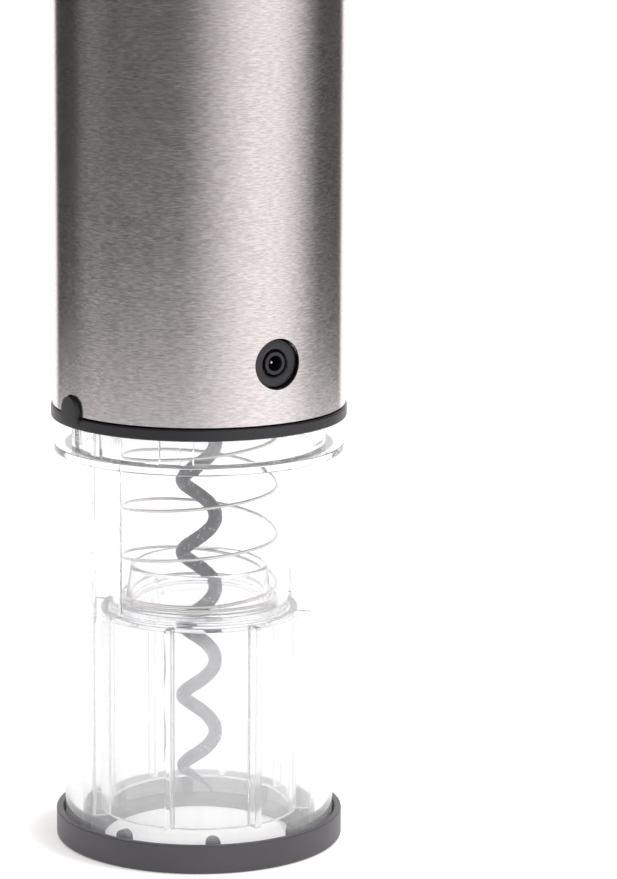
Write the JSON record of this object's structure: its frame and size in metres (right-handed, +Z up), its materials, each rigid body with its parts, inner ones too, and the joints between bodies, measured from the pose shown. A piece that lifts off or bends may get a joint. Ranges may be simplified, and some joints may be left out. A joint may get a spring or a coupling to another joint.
{
  "type": "electric wine opener",
  "caption": "Upright cordless corkscrew: brushed steel handle with a geared motor over a clear pull-off cover, sprung cork collar and helical worm.",
  "frame": {"origin": "centre of the base ring's underside, on the surface that the opener stands on", "axes": "+Z up along the body's axis; -Y is the front with the switch panel, +Y the back with the charging jack, +X and -X the trim ring's index tabs"},
  "size_m": [0.0514, 0.0506, 0.2614],
  "materials": {
    "sleeve_steel": "stainless steel brushed round the body",
    "black_plastic": "satin black ABS",
    "clear_plastic": "clear polycarbonate",
    "coated_steel": "dark non-stick coating",
    "spring_steel": "bright spring wire",
    "zinc": "die-cast zinc or zinc-plated steel",
    "sintered_steel": "sintered steel",
    "brass": "machined",
    "white_plastic": "moulded acetal",
    "board": "green solder mask",
    "cell_wrap": "shrink-wrapped rechargeable cell",
    "motor_steel": "nickel-plated can",
    "switch_metal": "nickel plate"
  },
  "bodies": {
    "body": {"steel_sleeve": "sleeve_steel", "top_cap": "black_plastic", "trim_ring": "black_plastic", "switch_panel": "black_plastic", "indicator_lens": "clear_plastic", "circuit_board": "board", "up_switch": "switch_metal", "down_switch": "switch_metal", "charge_led": "white_plastic", "chassis_front": "black_plastic", "chassis_rear": "black_plastic", "chassis_screw_1": "zinc", "chassis_screw_2": "zinc", "chassis_screw_3": "zinc", "chassis_screw_4": "zinc", "jack_bezel": "black_plastic", "dc_jack": "black_plastic", "jack_pin": "switch_metal", "battery_1": "cell_wrap", "battery_2": "cell_wrap", "battery_3": "cell_wrap", "battery_4": "cell_wrap", "battery_plate_bottom": "black_plastic", "battery_plate_top": "black_plastic", "motor_can": "motor_steel", "motor_end_cap": "black_plastic", "motor_plate": "zinc", "output_bushing": "brass", "gearbox_housing": "white_plastic", "gearbox_cover": "zinc", "gearbox_screw_1": "zinc", "gearbox_screw_2": "zinc", "gearbox_screw_3": "zinc"},
    "cover": {"clear_housing": "clear_plastic", "bottle_guide": "clear_plastic", "base_ring": "black_plastic", "spring_retainer": "white_plastic", "guide_spring": "spring_steel"},
    "cork_collar": {"cork_guide": "clear_plastic"},
    "worm_drive": {"worm": "coated_steel", "worm_chuck": "zinc", "output_carrier": "sintered_steel"},
    "intermediate": {"first_carrier": "sintered_steel"},
    "rotor": {"motor_shaft": "switch_metal", "motor_pinion": "brass"},
    "planet_2a": {"second_planet_1": "white_plastic"},
    "planet_2b": {"second_planet_2": "white_plastic"},
    "planet_2c": {"second_planet_3": "white_plastic"},
    "planet_1a": {"first_planet_1": "white_plastic"},
    "planet_1b": {"first_planet_2": "white_plastic"},
    "planet_1c": {"first_planet_3": "white_plastic"},
    "button_up": {"up_button": "black_plastic"},
    "button_down": {"down_button": "black_plastic"}
  },
  "joints": [
    {"name": "cover_pull", "type": "slide", "parent": "body", "child": "cover", "axis": [0, 0, -1], "range_m": [0, 0.085]},
    {"name": "collar_lift", "type": "slide", "parent": "cover", "child": "cork_collar", "axis": [0, 0, 1], "range_m": [0, 0.018], "stiffness_N_per_m": 150, "springref_m": -0.006, "deforming": ["guide_spring"]},
    {"name": "worm_spin", "type": "hinge", "parent": "body", "child": "worm_drive", "pos_m": [0, 0, 0.085], "axis": [0, 0, 1], "continuous": true},
    {"name": "planet_2a_spin", "type": "hinge", "parent": "worm_drive", "child": "planet_2a", "pos_m": [0.0096, 0, 0.102], "axis": [0, 0, 1], "continuous": true},
    {"name": "planet_2b_spin", "type": "hinge", "parent": "worm_drive", "child": "planet_2b", "pos_m": [-0.0048, 0.00831, 0.102], "axis": [0, 0, 1], "continuous": true},
    {"name": "planet_2c_spin", "type": "hinge", "parent": "worm_drive", "child": "planet_2c", "pos_m": [-0.0048, -0.00831, 0.102], "axis": [0, 0, 1], "continuous": true},
    {"name": "intermediate_spin", "type": "hinge", "parent": "body", "child": "intermediate", "pos_m": [0, 0, 0.106], "axis": [0, 0, 1], "continuous": true},
    {"name": "planet_1a_spin", "type": "hinge", "parent": "intermediate", "child": "planet_1a", "pos_m": [0.0096, 0, 0.111], "axis": [0, 0, 1], "continuous": true},
    {"name": "planet_1b_spin", "type": "hinge", "parent": "intermediate", "child": "planet_1b", "pos_m": [-0.0048, 0.00831, 0.111], "axis": [0, 0, 1], "continuous": true},
    {"name": "planet_1c_spin", "type": "hinge", "parent": "intermediate", "child": "planet_1c", "pos_m": [-0.0048, -0.00831, 0.111], "axis": [0, 0, 1], "continuous": true},
    {"name": "rotor_spin", "type": "hinge", "parent": "body", "child": "rotor", "pos_m": [0, 0, 0.13], "axis": [0, 0, 1], "continuous": true},
    {"name": "up_press", "type": "slide", "parent": "body", "child": "button_up", "axis": [0, 1, 0], "range_m": [0, 0.0004], "stiffness_N_per_m": 600, "springref_m": -0.001},
    {"name": "down_press", "type": "slide", "parent": "body", "child": "button_down", "axis": [0, 1, 0], "range_m": [0, 0.0004], "stiffness_N_per_m": 600, "springref_m": -0.001}
  ],
  "couplings": [
    {"joint": "planet_2a_spin", "follows": "worm_spin", "ratio": -3},
    {"joint": "planet_2b_spin", "follows": "worm_spin", "ratio": -3},
    {"joint": "planet_2c_spin", "follows": "worm_spin", "ratio": -3},
    {"joint": "intermediate_spin", "follows": "worm_spin", "ratio": 4},
    {"joint": "planet_1a_spin", "follows": "worm_spin", "ratio": -12},
    {"joint": "planet_1b_spin", "follows": "worm_spin", "ratio": -12},
    {"joint": "planet_1c_spin", "follows": "worm_spin", "ratio": -12},
    {"joint": "rotor_spin", "follows": "worm_spin", "ratio": 16}
  ]
}
